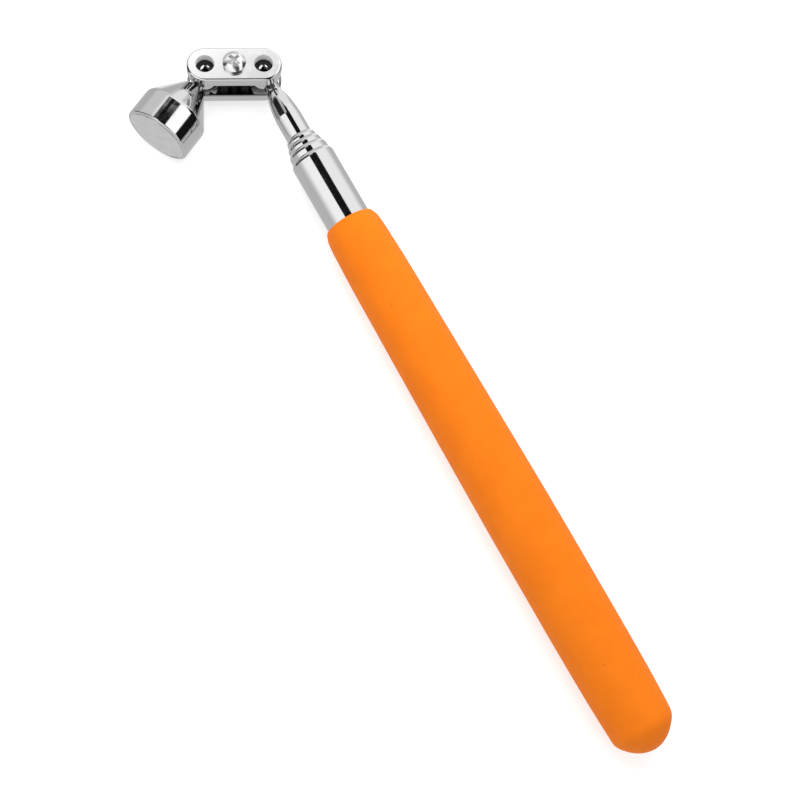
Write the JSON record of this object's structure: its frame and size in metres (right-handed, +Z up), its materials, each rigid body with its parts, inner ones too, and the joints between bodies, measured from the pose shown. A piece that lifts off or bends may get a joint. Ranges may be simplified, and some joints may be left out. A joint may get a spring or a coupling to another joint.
{
  "type": "telescoping magnetic pickup tool",
  "caption": "Telescoping mast with a soft sleeve grip at one end and a pot magnet on a double ball swivel at the other, for picking up dropped steel parts.",
  "frame": {"origin": "centre of the closed tool's box in plan, on the table that it lies on", "axes": "+X along the mast from the butt of the grip to the swivel, +Z up from the table, and the head folded round to +Y"},
  "size_m": [0.1746, 0.0378, 0.0152],
  "materials": {
    "grip_rubber": "satin matt",
    "black_plastic": "matt",
    "chrome_tube": "bright plated",
    "chrome_fitting": "bright plated",
    "chrome_ball": "polished",
    "bright_screw": "bright zinc plated",
    "brass": "plain turned",
    "spring_steel": "plain strip",
    "magnet_face": "ground flat, matt",
    "sleeve_metal": "bright"
  },
  "bodies": {
    "handle": {"grip_sleeve": "grip_rubber", "butt_plug": "black_plastic", "outer_tube": "chrome_tube"},
    "section_2": {"tube_2": "chrome_tube", "stop_bush_2": "brass", "friction_spring_2": "spring_steel"},
    "section_3": {"tube_3": "chrome_tube", "stop_bush_3": "brass", "friction_spring_3": "spring_steel"},
    "section_4": {"tube_4": "chrome_tube", "stop_bush_4": "brass", "friction_spring_4": "spring_steel"},
    "section_5": {"tube_5": "chrome_tube", "stop_bush_5": "brass", "friction_spring_5": "spring_steel", "tip_fitting": "chrome_fitting"},
    "rod_ball": {"rod_ball": "chrome_ball"},
    "link": {"front_plate": "chrome_fitting", "rear_plate": "chrome_fitting", "clamp_screw": "bright_screw", "clamp_nut": "bright_screw"},
    "head_ball": {"head_ball": "chrome_ball"},
    "head": {"head_stud": "chrome_fitting", "magnet_cup": "chrome_fitting", "magnet_sleeve": "sleeve_metal", "magnet": "magnet_face"}
  },
  "joints": [
    {"name": "section_2_slide", "type": "slide", "parent": "handle", "child": "section_2", "axis": [1, 0, 0], "range_m": [0, 0.12075]},
    {"name": "section_3_slide", "type": "slide", "parent": "section_2", "child": "section_3", "axis": [1, 0, 0], "range_m": [0, 0.12075]},
    {"name": "section_4_slide", "type": "slide", "parent": "section_3", "child": "section_4", "axis": [1, 0, 0], "range_m": [0, 0.12075]},
    {"name": "section_5_slide", "type": "slide", "parent": "section_4", "child": "section_5", "axis": [1, 0, 0], "range_m": [0, 0.12075]},
    {"name": "rod_ball_spin", "type": "hinge", "parent": "section_5", "child": "rod_ball", "pos_m": [0.0773, -0.01145, 0.00741], "axis": [1, 0, 0], "continuous": true},
    {"name": "link_swing", "type": "hinge", "parent": "rod_ball", "child": "link", "pos_m": [0.0773, -0.01145, 0.00741], "axis": [0.0785, -0.0078, 0.9969], "range_deg": [-152.72, 27.28]},
    {"name": "head_swing", "type": "hinge", "parent": "link", "child": "head_ball", "pos_m": [0.08301, -0.00034, 0.00704], "axis": [0.0785, -0.0078, 0.9969], "range_deg": [-144.13, 35.87]},
    {"name": "head_spin", "type": "hinge", "parent": "head_ball", "child": "head", "pos_m": [0.08301, -0.00034, 0.00704], "axis": [-0.4505, 0.8919, 0.0387], "continuous": true}
  ]
}
